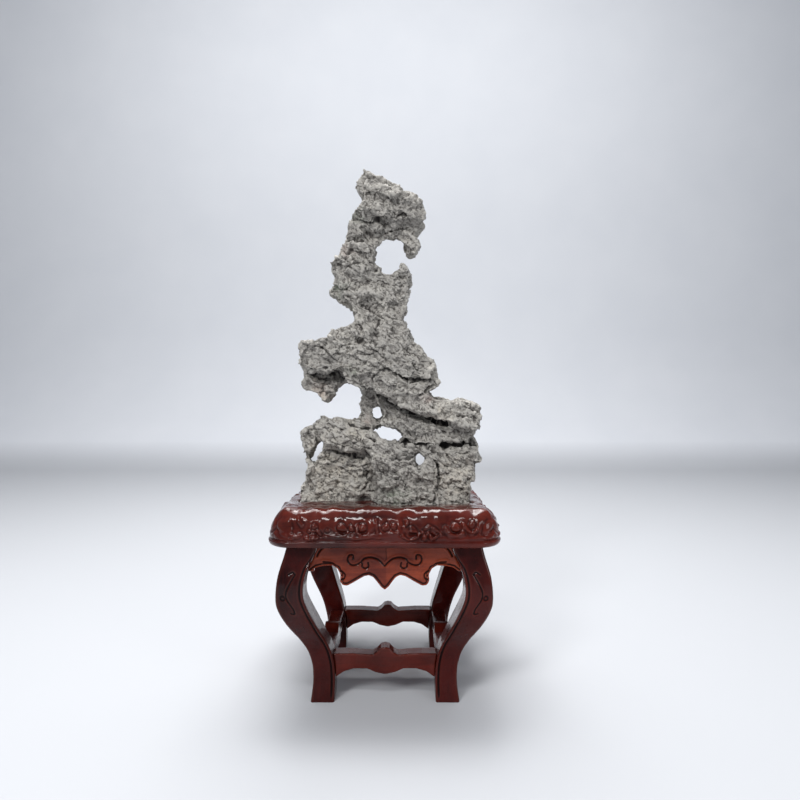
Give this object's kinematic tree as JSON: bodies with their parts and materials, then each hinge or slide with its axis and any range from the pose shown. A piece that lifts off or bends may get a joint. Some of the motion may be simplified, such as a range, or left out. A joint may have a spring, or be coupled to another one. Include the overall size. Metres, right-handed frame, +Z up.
{
  "type": "scholar's rock on stand",
  "caption": "Tall pierced grey scholar's rock resting on a square carved wooden stand with cabriole legs, scalloped aprons and low stretchers.",
  "frame": {"origin": "middle of the stand's footprint, on the surface that it stands on", "axes": "+Z up, -Y towards the viewer, +X to the viewer's right"},
  "size_m": [0.271, 0.271, 0.6664],
  "materials": {
    "stone": "rough weathered grey limestone, matt, with dark crevices",
    "lacquered_wood": "dark red-brown hardwood under high-gloss lacquer",
    "lacquered_wood_light": "warmer red-brown hardwood under high-gloss lacquer"
  },
  "bodies": {
    "root": {"scholars_rock": "stone", "stand_top": "lacquered_wood", "leg_front_left": "lacquered_wood", "leg_front_right": "lacquered_wood", "leg_back_left": "lacquered_wood", "leg_back_right": "lacquered_wood", "apron_front": "lacquered_wood_light", "apron_right": "lacquered_wood_light", "apron_back": "lacquered_wood_light", "apron_left": "lacquered_wood_light", "stretcher_front": "lacquered_wood", "stretcher_right": "lacquered_wood", "stretcher_back": "lacquered_wood", "stretcher_left": "lacquered_wood"}
  },
  "joints": []
}
